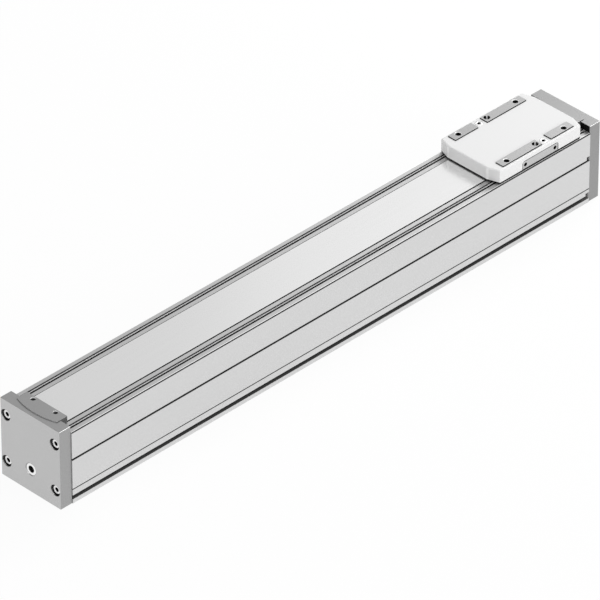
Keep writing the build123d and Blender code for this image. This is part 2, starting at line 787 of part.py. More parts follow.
def pad_rectangles(grow):
    """The four bare mounting pads, long and short ones crosswise."""
    long_length = pad_outer_end + long_pad_reach + 2 * grow
    short_length = pad_outer_end - short_pad_start + 2 * grow
    long_x = (pad_outer_end - long_pad_reach) / 2
    short_x = (pad_outer_end + short_pad_start) / 2
    for turn in (-1, 1):
        with Locations((slide_x + turn * long_x, turn * pad_y)):
            Rectangle(long_length, pad_width + 2 * grow)
        with Locations((slide_x - turn * short_x, turn * pad_y)):
            Rectangle(short_length, pad_width + 2 * grow)


cover_screw_places = [
    (slide_x - cover_screw_x, slide_hole_y),
    (slide_x + cover_screw_x, -slide_hole_y),
]

# Slide body: aluminium block with four mounting pads and a bare boss on each flank
with BuildPart() as slide_body:
    with BuildSketch(Plane.XY.offset(slide_bottom)):
        slide_outline(cover_wall + cover_room)
    extrude(amount=cover_inside - slide_bottom)
    with BuildSketch(Plane.XY.offset(cover_inside)):
        pad_rectangles(0)
    extrude(amount=pad_top - cover_inside)
    boss_depth = cover_wall + cover_room - boss_set_in
    for side in (-1, 1):
        with BuildSketch(side_plane(side, slide_half_width - boss_set_in)) as boss:
            with Locations((0, slide_bottom + boss_height / 2)):
                Rectangle(2 * boss_half_length, boss_height)
            fillet(boss.vertices().group_by(Axis.Y)[-1], boss_corner_r)
        extrude(amount=boss_depth)
        with BuildSketch(side_plane(side, slide_half_width - boss_set_in)):
            with Locations((-boss_hole_x, boss_hole_z), (boss_hole_x, boss_hole_z)):
                Circle(boss_hole_r)
        extrude(amount=boss_hole_depth, mode=Mode.SUBTRACT)
    with BuildSketch(Plane.XY.offset(slide_bottom)):
        with Locations((slide_x, 0)):
            Rectangle(yoke_length, 2 * yoke_outer)
    extrude(amount=yoke_sheet, mode=Mode.SUBTRACT)
    with Locations((slide_x, 0, slide_bottom + yoke_sheet + yoke_screw_depth)):
        with GridLocations(2 * yoke_screw_x, 2 * yoke_screw_y, 2, 2):
            Hole(m3_thread_r, depth=yoke_screw_depth)
    with Locations((slide_x, 0, pad_top)):
        with GridLocations(2 * slide_hole_x, 2 * slide_hole_y, 2, 2):
            CounterSinkHole(
                slide_thread_r, slide_mouth_r, depth=slide_thread_depth, counter_sink_angle=90
            )
        with GridLocations(0, 2 * slide_hole_y, 1, 2):
            Hole(centring_r, depth=centring_depth)
    with Locations(*[(x, y, cover_inside) for x, y in cover_screw_places]):
        Hole(m3_thread_r, depth=cover_screw_depth)
slide_body.part.label = "slide_body"
export_step(slide_body.part, "parts/slide_body.step")

# Slide cover: white moulded shell over the slide body, with windows for its pads
with BuildPart() as slide_cover:
    with BuildSketch(Plane.XY.offset(slide_bottom)):
        slide_outline(0)
    extrude(amount=cover_top - slide_bottom)
    fillet(slide_cover.edges().filter_by(Axis.Z), cover_corner_r)
    fillet(slide_cover.faces().sort_by(Axis.Z)[-1].edges(), cover_top_r)
    with BuildSketch(Plane.XY.offset(slide_bottom)):
        slide_outline(cover_wall)
    extrude(amount=cover_inside - slide_bottom, mode=Mode.SUBTRACT)
    with BuildSketch(Plane.XY.offset(cover_inside)):
        pad_rectangles(window_gap)
    extrude(amount=cover_ceiling, mode=Mode.SUBTRACT)
    notch_height = boss_top + window_gap - slide_bottom
    for side in (-1, 1):
        with BuildSketch(side_plane(side, slide_half_width)) as notch:
            with Locations((0, slide_bottom + notch_height / 2)):
                Rectangle(2 * (boss_half_length + window_gap), notch_height)
            fillet(notch.vertices().group_by(Axis.Y)[-1], boss_corner_r + window_gap)
        extrude(amount=cover_wall, mode=Mode.SUBTRACT)
    with Locations(*[(x, y, cover_top) for x, y in cover_screw_places]):
        CounterSinkHole(
            m3_shank_r + head_room,
            m3_cone_head_r + cover_screw_sink + thread_room,
            counter_sink_angle=90,
        )
slide_cover.part.label = "slide_cover"
export_step(slide_cover.part, "parts/slide_cover.step")

# Cover screws: two countersunk screws that hold the cover to the slide body
cone_top = cover_top - cover_screw_sink
cone_height = m3_cone_head_r - m3_shank_r
with BuildPart() as cover_screws:
    with Locations(*[(x, y, cone_top - cone_height / 2) for x, y in cover_screw_places]):
        Cone(m3_shank_r, m3_cone_head_r, cone_height)
    with BuildSketch(Plane.XY.offset(cover_inside - cover_screw_depth)):
        with Locations(*cover_screw_places):
            Circle(m3_shank_r)
    extrude(amount=cone_top - cone_height - cover_inside + cover_screw_depth)
    with BuildSketch(Plane.XY.offset(cone_top)):
        with Locations(*cover_screw_places):
            RegularPolygon(m3_key / 2, 6, major_radius=False)
    extrude(amount=-m3_cone_key_depth, mode=Mode.SUBTRACT)
cover_screws.part.label = "cover_screws"
export_step(cover_screws.part, "parts/cover_screws.step")

# Wipers: black rubber skirts under the two noses of the slide
for end, side in (("near", -1), ("far", 1)):
    with BuildPart() as wiper:
        with BuildSketch(Plane.XY.offset(seal_bottom)):
            slide_outline(wiper_inset)
            with Locations((slide_x + side * (slide_length - wiper_length) / 2, 0)):
                Rectangle(wiper_length, 2 * slide_half_width, mode=Mode.INTERSECT)
        extrude(amount=slide_bottom - seal_bottom)
    wiper.part.label = f"{end}_wiper"
    export_step(wiper.part, f"parts/{end}_wiper.step")

# Side seals: a black rubber strip under each long edge of the slide
for name, side in (("right_side_seal", -1), ("left_side_seal", 1)):
    with BuildPart() as side_seal:
        with BuildSketch(Plane.XY.offset(seal_bottom)):
            with Locations((slide_x, side * (slide_half_width - wiper_inset - side_seal_width / 2))):
                Rectangle(slide_length - 2 * (wiper_length + seal_end_gap), side_seal_width)
        extrude(amount=slide_bottom - seal_bottom)
    side_seal.part.label = name
    export_step(side_seal.part, f"parts/{name}.step")
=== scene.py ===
import json
import math

import bmesh
import bpy
from mathutils import Euler, Matrix, Vector

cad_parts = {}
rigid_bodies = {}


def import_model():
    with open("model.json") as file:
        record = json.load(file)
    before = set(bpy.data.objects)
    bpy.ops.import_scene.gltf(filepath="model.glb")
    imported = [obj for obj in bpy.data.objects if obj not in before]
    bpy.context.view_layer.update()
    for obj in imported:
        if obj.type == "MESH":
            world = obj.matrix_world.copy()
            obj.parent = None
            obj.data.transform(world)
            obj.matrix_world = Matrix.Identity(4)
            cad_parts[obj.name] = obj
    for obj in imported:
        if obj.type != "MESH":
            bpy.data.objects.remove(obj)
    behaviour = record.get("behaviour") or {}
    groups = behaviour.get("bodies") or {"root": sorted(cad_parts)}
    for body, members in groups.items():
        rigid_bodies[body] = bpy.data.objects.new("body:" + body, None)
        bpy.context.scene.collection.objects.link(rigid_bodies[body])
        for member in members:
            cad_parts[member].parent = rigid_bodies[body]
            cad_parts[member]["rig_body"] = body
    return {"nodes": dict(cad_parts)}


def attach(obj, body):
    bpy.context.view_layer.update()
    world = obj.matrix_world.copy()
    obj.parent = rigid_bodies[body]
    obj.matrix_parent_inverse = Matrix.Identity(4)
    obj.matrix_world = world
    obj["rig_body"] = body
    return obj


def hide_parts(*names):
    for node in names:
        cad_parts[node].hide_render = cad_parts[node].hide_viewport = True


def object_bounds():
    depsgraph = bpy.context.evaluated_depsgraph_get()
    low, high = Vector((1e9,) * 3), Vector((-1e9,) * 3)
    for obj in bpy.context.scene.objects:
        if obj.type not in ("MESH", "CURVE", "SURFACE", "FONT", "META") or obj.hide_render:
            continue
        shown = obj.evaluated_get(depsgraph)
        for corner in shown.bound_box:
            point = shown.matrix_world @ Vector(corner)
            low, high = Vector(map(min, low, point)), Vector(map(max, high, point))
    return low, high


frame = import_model()
nodes = frame["nodes"]
cad_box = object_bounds()

# The view looks down along the axis from its near, right-hand side, as a technical
# catalogue shows such an axis: almost without perspective, from a long way off.
camera = bpy.data.objects.new("camera", bpy.data.cameras.new("camera"))
camera.location = (-3.17328, -3.16583, 3.19658)
camera.rotation_euler = Euler((math.radians(54.7356), 0, math.radians(-45)))
camera.data.sensor_width = 36
camera.data.lens = 470.1
camera.data.clip_start = 0.5
camera.data.clip_end = 30
bpy.context.scene.collection.objects.link(camera)
bpy.context.scene.camera = camera

# Profile: one length of aluminium extrusion, clear anodised to a satin finish. The die
# leaves faint lines along it and slightly broken edges. Painted shade darkens the broken
# edges, the rims of the slots and grooves and the slots' insides; painted light brightens
# the slots' upper walls and the ledge beside the seals; and the base tone is painted
# lighter or darker by which way a face looks.
mm = 0.001
profile_half = 30.0 * mm
profile_top = 59.8 * mm
profile_end = 256.2 * mm
channel_y = 24.05 * mm
channel_lip = 1.7 * mm
seal_face = 29.0 * mm
sensor_slot_z = 37 * mm
score_z = 12.1 * mm
groove_top = 7 * mm
notch_start = 249.5 * mm


class Wire:
    """An output in a material's node tree. Operators on it add Math nodes."""

    def __init__(self, tree, socket=None):
        self.tree = tree
        self.socket = socket

    def node(self, kind, inputs=None, output=0, **settings):
        """Adds a node of any other kind: its settings first, then its sockets."""
        added = self.tree.nodes.new("ShaderNode" + kind)
        for setting, value in settings.items():
            setattr(added, setting, value)
        for name, value in (inputs or {}).items():
            if isinstance(value, Wire):
                self.tree.links.new(value.socket, added.inputs[name])
            else:
                added.inputs[name].default_value = value
        return Wire(self.tree, added.outputs[output] if added.outputs else None)

    def parts(self):
        """The three numbers of a vector."""
        split = self.node("SeparateXYZ", {0: self})
        return [Wire(self.tree, number) for number in split.socket.node.outputs]

    def maths(self, operation, first, second=0.0):
        return self.node("Math", {0: first, 1: second}, operation=operation)

    def rises(self, low, high):
        """0 below one value, 1 above another and a smooth rise between them."""
        return self.node(
            "MapRange",
            {"Value": self, "From Min": low, "From Max": high},
            interpolation_type="SMOOTHSTEP",
        )

    def __add__(self, other):
        return self.maths("ADD", self, other)

    def __radd__(self, other):
        return self.maths("ADD", other, self)

    def __sub__(self, other):
        return self.maths("SUBTRACT", self, other)

    def __rsub__(self, other):
        return self.maths("SUBTRACT", other, self)

    def __mul__(self, other):
        return self.maths("MULTIPLY", self, other)

    def __rmul__(self, other):
        return self.maths("MULTIPLY", other, self)

    def __abs__(self):
        return self.maths("ABSOLUTE", self)


def start(name):
    """A new material with an empty tree. Gives the wire to build on and the material."""
    material = bpy.data.materials.new(name)
    material.use_nodes = True
    material.node_tree.nodes.clear()
    return Wire(material.node_tree), material


def grain(wire, scale, detail=2.0, stretch=(1, 1, 1)):
    """Noise fixed to the piece, so many marks to the metre, drawn out where asked."""
    spot = wire.node("TexCoord", output="Object")
    drawn = wire.node("Mapping", {"Vector": spot, "Scale": stretch})
    return wire.node("TexNoise", {"Vector": drawn, "Scale": scale, "Detail": detail})


def place(wire):
    """Where a point lies along, across and above the axis."""
    return wire.node("TexCoord", output="Object").parts()


def near_to(value, spot, reach, soft=0.1 * mm):
    """1 where a number is within reach of a spot and 0 away from it."""
    return 1 - abs(value - spot).rises(reach - soft, reach + soft)


def painted_light_by_facing(wire, up, side, end):
    """Painted light and shade: blends three base tones by how far a face looks up, to the
    side and to the end.
    """
    along, across, above = wire.node("NewGeometry", output="Normal").parts()
    return above * above * up + across * across * side + along * along * end


def grey(value):
    return (value, value, value, 1)


def close(wire, level, roughness, relief, relief_height, **fixed):
    """The surface of a material: how light a grey, how rough, and its fine relief."""
    colour = wire.node(
        "Mix", {0: level, 6: grey(0.0), 7: grey(1.0)}, output=2, data_type="RGBA"
    )
    bump = wire.node("Bump", {"Height": relief, "Distance": relief_height, "Strength": 1.0})
    sockets = {"Base Color": colour, "Roughness": roughness, "Normal": bump}
    sockets.update({name.replace("_", " "): value for name, value in fixed.items()})
    surface = wire.node("BsdfPrincipled", sockets)
    wire.node("OutputMaterial", {"Surface": surface})


def dress(material, *names):
    """Gives a material to pieces of the frame that keep their shape."""
    for name in names:
        nodes[name].data.materials.clear()
        nodes[name].data.materials.append(material)


def stand_for(piece, node):
    """A finished piece rides with, and is shown in place of, a piece of the frame."""
    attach(piece, nodes[node]["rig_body"])
    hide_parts(node)


def broken_edges(node, material, width=0.12 * mm, wider=None, wide=0.12 * mm):
    """A piece of the frame again, with sharp edges broken and some of them more widely."""
    skin = bmesh.new()
    skin.from_mesh(nodes[node].data)
    bmesh.ops.remove_doubles(skin, verts=skin.verts, dist=0.001 * mm)
    bmesh.ops.dissolve_limit(
        skin, angle_limit=math.radians(0.3), verts=skin.verts, edges=skin.edges
    )
    share = skin.edges.layers.float.new("bevel_weight_edge")
    for edge in skin.edges:
        if edge.calc_face_angle(0) > math.radians(35):
            middle = (edge.verts[0].co + edge.verts[1].co) / 2
            edge[share] = 1 if wider and wider(middle) else width / wide
    mesh = bpy.data.meshes.new(node + "_skin")
    skin.to_mesh(mesh)
    skin.free()
    mesh.materials.append(material)
    mesh.shade_smooth()
    piece = bpy.data.objects.new(node + "_skin", mesh)
    bpy.context.scene.collection.objects.link(piece)
    rounding = piece.modifiers.new("rounding", "BEVEL")
    rounding.width = wide
    rounding.segments = 2
    rounding.limit_method = "WEIGHT"
    rounding.miter_outer = "MITER_ARC"
    shading = piece.modifiers.new("shading", "WEIGHTED_NORMAL")
    shading.mode = "FACE_AREA"
    shading.weight = 100
    stand_for(piece, node)


drawn, anodised_profile = start("anodised_profile")
die_lines = grain(drawn, 900, 4.0, (0.004, 1, 1))
cloud = grain(drawn, 14, 2.0, (0.3, 1, 1))
along, across, above = place(drawn)
out = abs(across)
below = profile_top - above
inside = (profile_half - out).rises(0.05 * mm, 0.4 * mm) * above.rises(0.1 * mm, 0.5 * mm)
inside *= 1 - abs(along).rises(profile_end - 0.1 * mm, profile_end - 0.02 * mm)
recess = inside * below.rises(0.45 * mm, 0.55 * mm)
# Painted shade inside the slots and grooves, below their upper walls.
painted_recess_shade = inside * below.rises(1.3 * mm, 1.7 * mm)
groove_zone = 1 - above.rises(groove_top + 1 * mm, groove_top + 2 * mm)
notch_zone = along.rises(notch_start, notch_start + 0.5 * mm)
_, turn_y, turn_z = drawn.node("NewGeometry", output="Normal").parts()
# Painted shade on the broken outer edges that look up and to the side.
corner = (abs(turn_y) * turn_z).rises(0.22, 0.42)
on_flank = out.rises(profile_half - 0.15 * mm, profile_half - 0.05 * mm)
on_top = above.rises(profile_top - 0.2 * mm, profile_top - 0.1 * mm)
# Painted shade along the slots' lips, beside the sensor slot and the score line, and on the
# flank just below the top.
lips = near_to(out, channel_y - channel_lip, 0.2 * mm)
lips += near_to(out, channel_y + channel_lip, 0.2 * mm)
lines = near_to(above, sensor_slot_z, 0.9 * mm) + near_to(above, score_z, 0.45 * mm)
shoulder = above.rises(profile_top - 1 * mm, profile_top - 0.8 * mm)
painted_rim_shade = on_top * lips + on_flank * (lines + shoulder)
# Painted light on the ledge beside the seals and on the slots' upper walls.
ledge = above.rises(profile_top - 0.05 * mm, profile_top - 0.01 * mm)
ledge *= out.rises(seal_face - 0.05 * mm, seal_face + 0.15 * mm)
lit = (recess - painted_recess_shade) + ledge
film = die_lines * 0.05 + cloud * 0.03 + 0.96
# How strong the painted shade is: weaker in the clamp groove and at the notches.
shade = 0.95 - groove_zone * 0.22 - notch_zone * 0.15
close(
    drawn,
    level=(
        film * painted_light_by_facing(drawn, 0.54, 0.67, 0.6) * (1 - painted_recess_shade * shade)
        * (1 - corner * 0.96) * (1 - painted_rim_shade * 0.9) * (1 + lit * 0.8)
    ),
    roughness=die_lines * 0.08 + 0.44 + recess * 0.35,
    relief=die_lines,
    relief_height=0.004 * mm,
    Metallic=0.85 - lit * 0.85,
)
broken_edges("profile", anodised_profile)

# Guide rail and its screws: the rail is ground bright steel, and black screws in its
# counterbores hold it to the floor of the profile's chamber.
ground, ground_steel = start("ground_steel")
grinding = grain(ground, 1200, 3.0, (0.01, 1, 1))
close(
    ground,
    level=grinding * 0.08 + 0.5,
    roughness=grinding * 0.12 + 0.22,
    relief=grinding,
    relief_height=0.002 * mm,
    Metallic=1.0,
)
dress(ground_steel, "guide_rail", "bearing_block", "bearing_balls", "sensor_magnets")

blacked, black_screw = start("black_screw")
oxide = grain(blacked, 2500, 3.0)
close(
    blacked,
    level=oxide * 0.02 + 0.01,
    roughness=oxide * 0.15 + 0.38,
    relief=oxide,
    relief_height=0.003 * mm,
    Metallic=0.6,
)
dress(black_screw, "rail_screws", "block_screws", "yoke_screws", "side_screws")

# End caps: plates milled from aluminium and anodised a matt grey. Each has a pocket in
# its top for the band clamp, and counterbores for the four screws that hold it.
cap_end = cad_box[1].x
cap_half = 29.25 * mm
cap_top = 65.05 * mm
clamp_screw_x = 253 * mm
clamp_screw_y = 11.05 * mm


def round_hole(one_way, other_way, radius):
    """1 inside a circle, given how far a point lies from its middle both ways."""
    gap = one_way * one_way + other_way * other_way
    return 1 - gap.rises((radius * mm) ** 2, ((radius + 0.2) * mm) ** 2)


def matt_grey(name, top, wall, shade, lift=0.0):
    """Matt anodised aluminium that is darker on walls that lie below its outer faces.

    The painted shade is as strong as shade, and weaker on the walls that face along the
    axis:
    by lift. Painted highlights lie on the edges between top and flank and on the mouths of
    the clamp screws' holes, painted shade grows towards the far end, and the base tone is
    painted by which way a face looks.
    """
    matt, material = start(name)
    blast = grain(matt, 3500, 2.0)
    patches = grain(matt, 60, 3.0)
    along, across, above = place(matt)
    in_end = (cap_end - abs(along)).rises(0.5 * mm, 0.9 * mm)
    in_side = (cap_half - abs(across)).rises(0.4 * mm, 0.8 * mm)
    in_top = (top - above).rises(wall, wall + 0.25 * mm)
    in_foot = above.rises(0.3 * mm, 0.8 * mm)
    # Painted shade on walls below the outer faces.
    painted_recess_shade = in_end * in_side * in_top * in_foot
    to_screw = (abs(along) - clamp_screw_x, abs(across) - clamp_screw_y)
    # Painted highlight on the mouths of the clamp screws' holes.
    painted_rim_highlight = round_hole(*to_screw, 2.5) * (top - above).rises(0.02 * mm, 0.08 * mm)
    painted_rim_highlight *= 1 - (top - above).rises(0.8 * mm, 0.95 * mm)
    turn_x, turn_y, turn_z = matt.node("NewGeometry", output="Normal").parts()
    front = abs(turn_x).rises(0.6, 0.8)
    # Painted highlight along the edges between top and flank.
    edge = (abs(turn_y) * turn_z).rises(0.2, 0.4) * (1 - painted_recess_shade)
    film = blast * 0.06 + patches * 0.04 + 0.95
    # Painted shade that grows towards the far end.
    painted_far_shade = 1 - along.rises(0, 250 * mm) * 0.12
    # How much weaker the painted shade is on walls that face sideways and along the axis.
    less = 1 - turn_y * turn_y * 0.3 - front * lift
    close(
        matt,
        level=(
            film * painted_light_by_facing(matt, 0.385, 0.37, 0.55) * painted_far_shade
            * (1 - painted_recess_shade * (1 - painted_rim_highlight) * less * shade)
            + edge * 0.6 + painted_rim_highlight * 0.6
        ),
        roughness=blast * 0.1 + 0.40 + painted_recess_shade * 0.4 - painted_rim_highlight * 0.2,
        relief=blast,
        relief_height=0.004 * mm,
        Metallic=0.85 - painted_rim_highlight * 0.6,
    )
    return material


anodised_cap = matt_grey("anodised_cap", cap_top, 0.1 * mm, 0.97)
for end in ("near", "far"):
    broken_edges(end + "_end_cap", anodised_cap)

# Band clamps: bowed plates of the same aluminium. Each lies in its cap's pocket, stands
# slightly proud of it, and holds the end of the cover band down with two small screws.
clamp_top = 65.75 * mm
anodised_clamp = matt_grey("anodised_clamp", clamp_top, 0.1 * mm, 0.65, 0.9)


def screw_hole(spot):
    """Whether an edge is the upper rim of a hole for a clamp screw."""
    gap = math.hypot(abs(spot.x) - clamp_screw_x, abs(spot.y) - clamp_screw_y)
    return gap < 2.4 * mm and spot.z > clamp_top - 0.1 * mm


for end in ("near", "far"):
    broken_edges(
        end + "_band_clamp", anodised_clamp, wider=screw_hole, wide=0.4 * mm
    )

# Gaskets, buffers, wipers and seals: black rubber, cut from sheet or moulded. The gaskets'
# edges, which show between the caps and the profile, carry painted light: a lighter grey.
moulded, black_rubber = start("black_rubber")
skin_grain = grain(moulded, 1800, 3.0)
along, across, above = place(moulded)
# Painted light on the gaskets' edges between the caps and the profile.
painted_gasket_light = abs(along).rises(profile_end - 0.3 * mm, profile_end - 0.2 * mm)
close(
    moulded,
    level=skin_grain * 0.004 + 0.002 + painted_gasket_light * 0.4,
    roughness=skin_grain * 0.15 + 0.7,
    relief=skin_grain,
    relief_height=0.012 * mm,
    Specular_IOR_Level=0.03,
)
dress(
    black_rubber,
    "near_cap_gasket", "far_cap_gasket", "near_buffer", "far_buffer",
    "near_block_seal", "far_block_seal", "near_wiper", "far_wiper",
    "left_side_seal", "right_side_seal",
)

# Cap screws: four socket head screws at each end, turned from steel, knurled round the
# head and zinc plated. The hexagon of each socket is broached and drilled to a point.


def spin(name, node, rings, places, material, sides=48):
    """Turned pieces, all alike, made of rings: radius, height, how much painted shade, cut.
    """
    skin = bmesh.new()
    shadow = skin.verts.layers.float.new("shadow")
    for placed in places:
        before = None
        for radius, height, dark, cut in rings:
            ring = []
            for step in range(sides if radius else 1):
                turn = 2 * math.pi * step / sides
                reach = radius * mm
                if cut == "hexagon":
                    reach /= math.cos((turn + math.pi / 6) % (math.pi / 3) - math.pi / 6)
                if cut == "knurl" and step % 2:
                    reach -= 0.07 * mm
                spot = Vector((reach * math.cos(turn), reach * math.sin(turn), height * mm))
                corner = skin.verts.new(placed @ spot)
                corner[shadow] = dark
                ring.append(corner)
            if before:
                for step in range(sides):
                    around = [
                        before[step % len(before)],
                        before[(step + 1) % len(before)],
                        ring[(step + 1) % len(ring)],
                        ring[step % len(ring)],
                    ]
                    skin.faces.new(list(dict.fromkeys(around)))
            before = ring
    bmesh.ops.remove_doubles(skin, verts=skin.verts, dist=0.0005 * mm)
    bmesh.ops.recalc_face_normals(skin, faces=skin.faces)
    mesh = bpy.data.meshes.new(name)
    skin.to_mesh(mesh)
    skin.free()
    mesh.materials.append(material)
    mesh.shade_smooth()
    mesh.set_sharp_from_angle(angle=math.radians(30))
    piece = bpy.data.objects.new(name, mesh)
    bpy.context.scene.collection.objects.link(piece)
    stand_for(piece, node)


def outward(end, x, y, z):
    """A place on an end cap's outer face, with its height measured outwards."""
    side = -1 if end == "near" else 1
    spot = Vector((side * x * mm, y * mm, z * mm))
    return Matrix.Translation(spot) @ Euler((0, side * math.pi / 2, 0)).to_matrix().to_4x4()


plated, bright_screw = start("bright_screw")
turning = grain(plated, 3000, 2.0)
# Painted shade: each ring's shadow value darkens the sockets and the parts of the screws
# that sit in their holes.
painted_socket_shade = plated.node("Attribute", output="Fac", attribute_name="shadow")
close(
    plated,
    level=(turning * 0.08 + 0.82) * (1 - painted_socket_shade * 0.985),
    roughness=turning * 0.1 + 0.24 + painted_socket_shade * 0.4,
    relief=turning,
    relief_height=0.003 * mm,
    Metallic=1.0,
)
cap_head, cap_screw_sink = 4.0, 1.45
cap_screw_y, cap_screw_heights = channel_y / mm, (13.7, 52.5)
seat = cap_end / mm - cap_screw_sink - cap_head
cap_screw = [
    (0, -16.0, 1, ""), (1.6, -16.0, 1, ""), (2.0, -15.6, 1, ""), (2.0, 0, 1, ""),
    (3.4, 0, 1, ""), (3.5, 0.1, 1, ""), (3.5, 0.12, 1, "knurl"), (3.5, 2.6, 1, "knurl"),
    (3.5, 3.5, 0.6, "knurl"), (3.5, 3.52, 0.3, ""), (3.15, 4.0, 0, ""), (1.9, 4.0, 0, ""),
    (1.78, 3.9, 0.3, ""), (1.5, 3.6, 1, "hexagon"), (1.5, 2.0, 1, "hexagon"),
    (0, 1.5, 1, ""),
]
for end in ("near", "far"):
    heads = [
        outward(end, seat, y, z)
        for y in (-cap_screw_y, cap_screw_y) for z in cap_screw_heights
    ]
    spin(
        end + "_cap_screws_turned", end + "_cap_screws", cap_screw, heads,
        bright_screw,
    )

# Clamp screws: small socket head screws with a black finish, sunk below the clamp's top
# so that only their dark heads can be seen inside the painted highlights on the holes'
# rims.
# Their black also stands in for the shade deep in the holes.
clamp_screw = [
    (0, -7.7, 1, ""), (0.7, -7.7, 1, ""), (1.0, -7.4, 1, ""), (1.0, 0, 1, ""),
    (1.85, 0, 1, ""), (1.9, 0.05, 1, ""), (1.9, 1.75, 0.5, ""), (1.75, 2.0, 0, ""),
    (1.0, 2.0, 0, ""), (0.95, 1.98, 1, ""), (0.75, 1.85, 1, "hexagon"),
    (0.75, 1.0, 1, "hexagon"), (0, 0.8, 1, ""),
]
clamp_head, clamp_screw_sink = 2.0 * mm, 1.1 * mm
clamp_seat = clamp_top - clamp_screw_sink - clamp_head
for end, side in (("near", -1), ("far", 1)):
    heads = [
        Matrix.Translation((side * clamp_screw_x, y, clamp_seat))
        for y in (-clamp_screw_y, clamp_screw_y)
    ]
    spin(
        end + "_clamp_screws_turned", end + "_clamp_screws", clamp_screw, heads,
        black_screw,
    )

# Port bushes: turned from brass, nickel plated and pressed into the caps. Each has a
# bright face, a chamfered mouth and a fine thread for a fitting.
nickel, bright_bush = start("bright_bush")
plate = grain(nickel, 2600, 2.0)
# Painted shade: each ring's shadow value darkens the bore and its thread.
painted_bore_shade = nickel.node("Attribute", output="Fac", attribute_name="shadow")
close(
    nickel,
    level=(plate * 0.05 + 0.88) * (1 - painted_bore_shade * 0.985),
    roughness=plate * 0.08 + 0.2 + painted_bore_shade * 0.4,
    relief=plate,
    relief_height=0.002 * mm,
    Metallic=1.0,
)
port_bush = [
    (2.1, -10.3, 1, ""), (3.2, -10.3, 1, ""), (3.2, -1.6, 1, ""), (4.7, -1.6, 1, ""),
    (4.7, -0.55, 1, ""), (4.55, -0.4, 0, ""), (2.8, -0.4, 0, ""), (2.7, -0.5, 1, ""),
    (2.35, -0.75, 1, ""),
]
port_z, port_pitch = 19.0, 0.8
for turn in range(11):
    crest = -1.1 - port_pitch * turn
    port_bush += [(2.1, crest, 1, ""), (2.35, crest - port_pitch / 2, 1, "")]
port_bush += [(2.1, -10.3, 1, "")]
for end in ("near", "far"):
    spin(
        end + "_port_bush_turned", end + "_port_bush", port_bush,
        [outward(end, cap_end / mm, 0, port_z)], bright_bush,
    )

# Cover band: thin stainless strip, rolled smooth, with a very fine grain along it. The
# two clamps pull it taut from end to end.
rolled, steel_band = start("steel_band")
strip_grain = grain(rolled, 1500, 3.0, (0.006, 1, 1))
_, across, _ = place(rolled)
rim = abs(across).rises(17.2 * mm, 17.5 * mm)
close(
    rolled,
    level=strip_grain * 0.03 + 0.93 + rim * 0.05,
    roughness=strip_grain * 0.06 + 0.18,
    relief=strip_grain,
    relief_height=0.001 * mm,
    Metallic=0.9,
)
dress(steel_band, "cover_band")

# Yoke: steel sheet, bent to a channel. It joins the bearing block to the slide through
# the narrow gaps beside the band.
sheet, steel_sheet = start("steel_sheet")
sheet_grain = grain(sheet, 1500, 3.0, (0.02, 1, 1))
close(
    sheet,
    level=sheet_grain * 0.1 + 0.5,
    roughness=sheet_grain * 0.1 + 0.3,
    relief=sheet_grain,
    relief_height=0.003 * mm,
    Metallic=1.0,
)
dress(steel_sheet, "yoke")

# Block caps and band pads: black engineering plastic, moulded. The pads run on the band
# and keep it down.
dark, dark_plastic = start("dark_plastic")
dark_grain = grain(dark, 1500, 3.0)
close(
    dark,
    level=dark_grain * 0.02 + 0.03,
    roughness=dark_grain * 0.1 + 0.45,
    relief=dark_grain,
    relief_height=0.008 * mm,
)
dress(dark_plastic, "near_block_cap", "far_block_cap", "band_pads")

# Slide body: milled from aluminium, clear anodised. Only its four pads and a boss on each
# flank show, and their threaded and centring holes are deep. Painted shade darkens the
# holes inside and outlines the bosses and their holes; painted highlights lie on the holes'
# mouths, with a painted glint in the centring holes; the base tone is painted by which way
# a face looks.
slide_x = 205.1 * mm
pad_top = 72.3 * mm
pad_hole_x, pad_hole_y = 29.4 * mm, 23.8 * mm
boss_half, boss_top = 18.3 * mm, 67.8 * mm
boss_hole_x, boss_hole_z = 15.15 * mm, 64.4 * mm
milled, anodised_slide = start("anodised_slide")
mill = grain(milled, 2500, 3.0, (0.05, 1, 1))
along, across, above = place(milled)
middle = abs(along - slide_x)
out = abs(across)
depth = pad_top - above
on_pads = (28.8 * mm - out).rises(0, 0.2 * mm)
to_thread = (out - pad_hole_y, middle - pad_hole_x)
threads = round_hole(*to_thread, 2.9) * (1 - depth.rises(0.4 * mm, 0.5 * mm))
slant = along - slide_x - across
# Painted glint: a slanting stripe across the centring holes.
glint = near_to(slant, -pad_hole_y, 0.8 * mm, 0.3 * mm)
glint += near_to(slant, pad_hole_y, 0.8 * mm, 0.3 * mm)
centring = round_hole(out - pad_hole_y, middle, 2.7) * glint
# Painted highlight on the mouths of the threaded and centring holes.
painted_rim_highlight = (threads + centring) * depth.rises(0.02 * mm, 0.08 * mm)
# Painted shade on the bosses' outlines and in their holes.
side_holes = round_hole(above - boss_hole_z, middle - boss_hole_x, 1.45)
outline = above.rises(boss_top - 0.5 * mm, boss_top - 0.35 * mm)
outline += middle.rises(boss_half - 0.5 * mm, boss_half - 0.35 * mm)
painted_boss_shade = (side_holes + outline).rises(0, 1)
# Painted shade inside the holes in the pads.
painted_recess_shade = on_pads * depth.rises(0.08 * mm, 0.3 * mm) * (1 - painted_rim_highlight)
painted_recess_shade += (1 - on_pads) * painted_boss_shade
close(
    milled,
    level=(
        (mill * 0.05 + 0.96) * painted_light_by_facing(milled, 0.41, 0.56, 0.6) * (1 - painted_recess_shade * 0.97)
        + painted_rim_highlight * 0.5
    ),
    roughness=mill * 0.08 + 0.40 + painted_recess_shade * 0.4 - painted_rim_highlight * 0.2,
    relief=mill,
    relief_height=0.003 * mm,
    Metallic=0.85 - painted_rim_highlight * 0.6,
)


